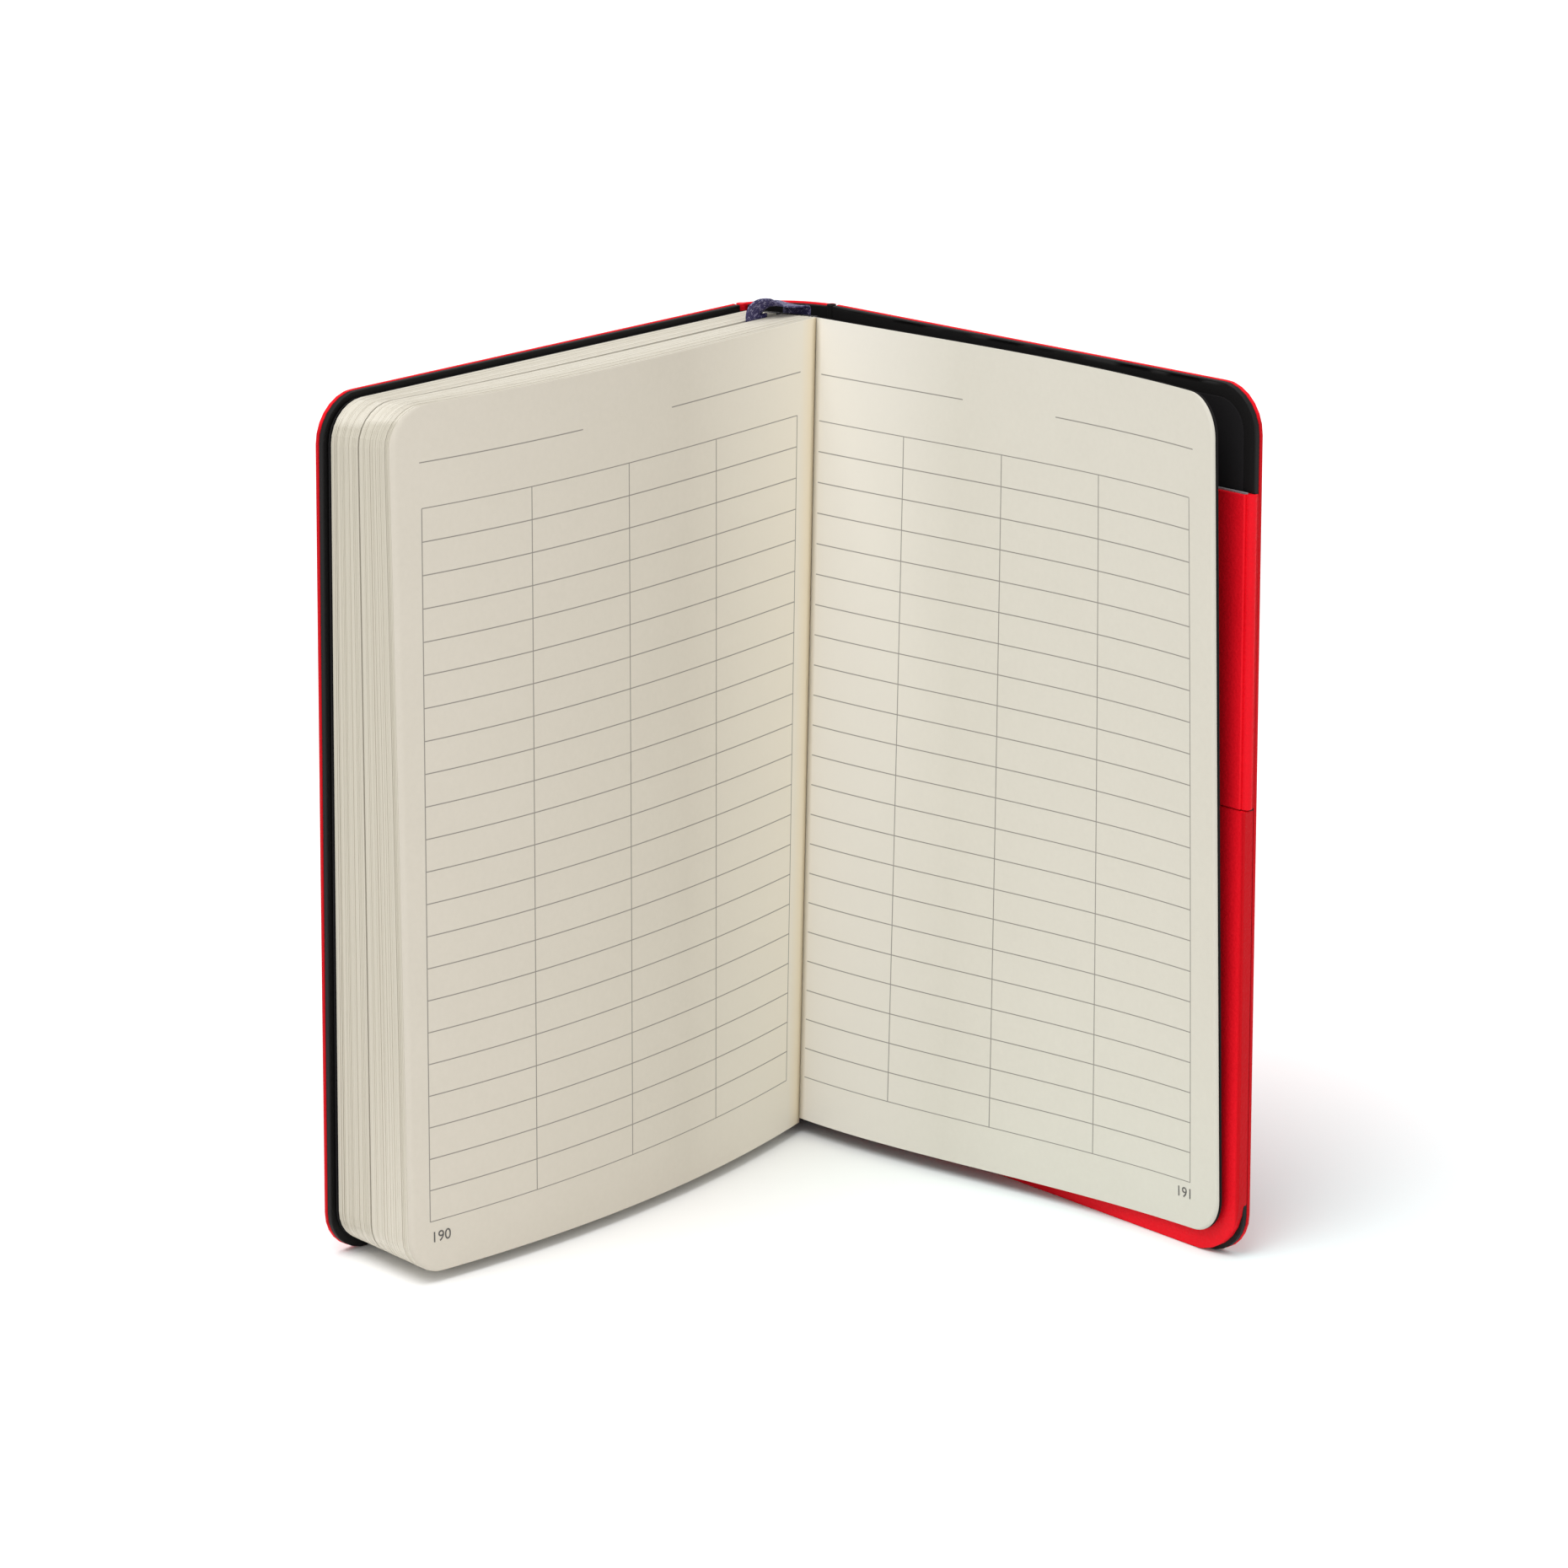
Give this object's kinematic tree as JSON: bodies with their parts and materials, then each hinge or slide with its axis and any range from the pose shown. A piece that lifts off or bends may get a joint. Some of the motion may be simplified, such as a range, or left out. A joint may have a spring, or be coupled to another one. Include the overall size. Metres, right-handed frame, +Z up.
{
  "type": "notebook",
  "caption": "Soft-covered notebook standing open on its tail: ruled leaves, ribbon marker, a pocket and a magnetic closure flap folded in at the back cover.",
  "frame": {"origin": "middle of the spine at its tail edge, on the face the notebook stands on", "axes": "+Z up along the spine; X across the spine, from the front cover side to the back cover side; the book opens towards -Y"},
  "size_m": [0.1878, 0.1041, 0.1848],
  "materials": {
    "red_skin": "soft-touch coated leather-look cover cloth, satin",
    "black_lining": "fine-grained black lining, matte",
    "black_paper": "black endpaper, matte; fabric stands in for paper",
    "black_band": "black woven band, matte",
    "grey_board": "thin grey board, hidden; wood stands in for pasteboard",
    "navy_ribbon": "woven satin ribbon",
    "gauze": "open gauze glued over the folds",
    "magnet": "nickel-plated magnet, hidden",
    "cream_paper": "uncoated book paper, matte; wood stands in for paper"
  },
  "bodies": {
    "spine": {"spine_skin": "red_skin", "spine_stiffener": "grey_board", "spine_lining": "black_lining"},
    "leaf_block": {"front_flyleaf": "black_paper", "section_01": "cream_paper", "section_02": "cream_paper", "section_03": "cream_paper", "section_04": "cream_paper", "section_05": "cream_paper", "section_06_front_half": "cream_paper", "section_06_rear_half": "cream_paper", "section_07": "cream_paper", "section_08": "cream_paper", "section_09": "cream_paper", "section_10": "cream_paper", "section_11": "cream_paper", "spine_gauze": "gauze", "head_band": "black_band", "tail_band": "black_band", "ribbon": "navy_ribbon"},
    "last_leaves": {"last_section_leaves": "cream_paper"},
    "front_cover": {"front_cover_skin": "red_skin", "front_cover_board": "grey_board", "front_cover_lining": "black_lining", "front_cover_pastedown": "black_paper"},
    "back_cover": {"back_cover_skin": "red_skin", "back_cover_board": "grey_board", "back_cover_lining": "black_lining", "back_cover_pastedown": "black_paper", "pocket_panel": "red_skin"},
    "flap": {"flap_gusset_skin": "red_skin", "flap_gusset_lining": "black_lining", "flap_tongue_skin": "red_skin", "flap_magnet_upper": "magnet", "flap_magnet_lower": "magnet", "flap_tongue_card": "grey_board", "flap_tongue_lining": "black_lining"},
    "rear_flyleaf": {"rear_flyleaf": "black_paper"},
    "leaf_191": {"leaf_191": "cream_paper"}
  },
  "joints": [
    {"name": "block_turn", "type": "hinge", "parent": "spine", "child": "leaf_block", "pos_m": [-0.0095, -0.00175, 0], "axis": [0, 0, 1], "range_deg": [-43, 0]},
    {"name": "front_cover_hinge", "type": "hinge", "parent": "leaf_block", "child": "front_cover", "pos_m": [-0.0095, -0.00175, 0], "axis": [0, 0, 1], "range_deg": [-78, 0]},
    {"name": "last_leaves_turn", "type": "hinge", "parent": "leaf_block", "child": "last_leaves", "pos_m": [0.00057, -0.01787, 0.0024], "axis": [0.0325, 0.0331, 0.9989], "range_deg": [0, 12]},
    {"name": "back_cover_hinge", "type": "hinge", "parent": "spine", "child": "back_cover", "pos_m": [0.0095, -0.00425, 0], "axis": [0, 0, 1], "range_deg": [0, 48]},
    {"name": "flap_swing", "type": "hinge", "parent": "back_cover", "child": "flap", "pos_m": [0.08913, -0.09282, 0], "axis": [0, 0, 1], "range_deg": [0, 110]},
    {"name": "rear_flyleaf_turn", "type": "hinge", "parent": "leaf_block", "child": "rear_flyleaf", "pos_m": [0.00095, -0.01826, 0.0024], "axis": [0.0326, 0.0333, 0.9989], "range_deg": [-66, 0]},
    {"name": "leaf_191_turn", "type": "hinge", "parent": "rear_flyleaf", "child": "leaf_191", "pos_m": [0.00095, -0.01826, 0.0024], "axis": [0.0326, 0.0333, 0.9989], "range_deg": [-14, 0]}
  ],
  "couplings": [
    {"joint": "rear_flyleaf_turn", "follows": "flap_swing", "ratio": -0.6}
  ]
}
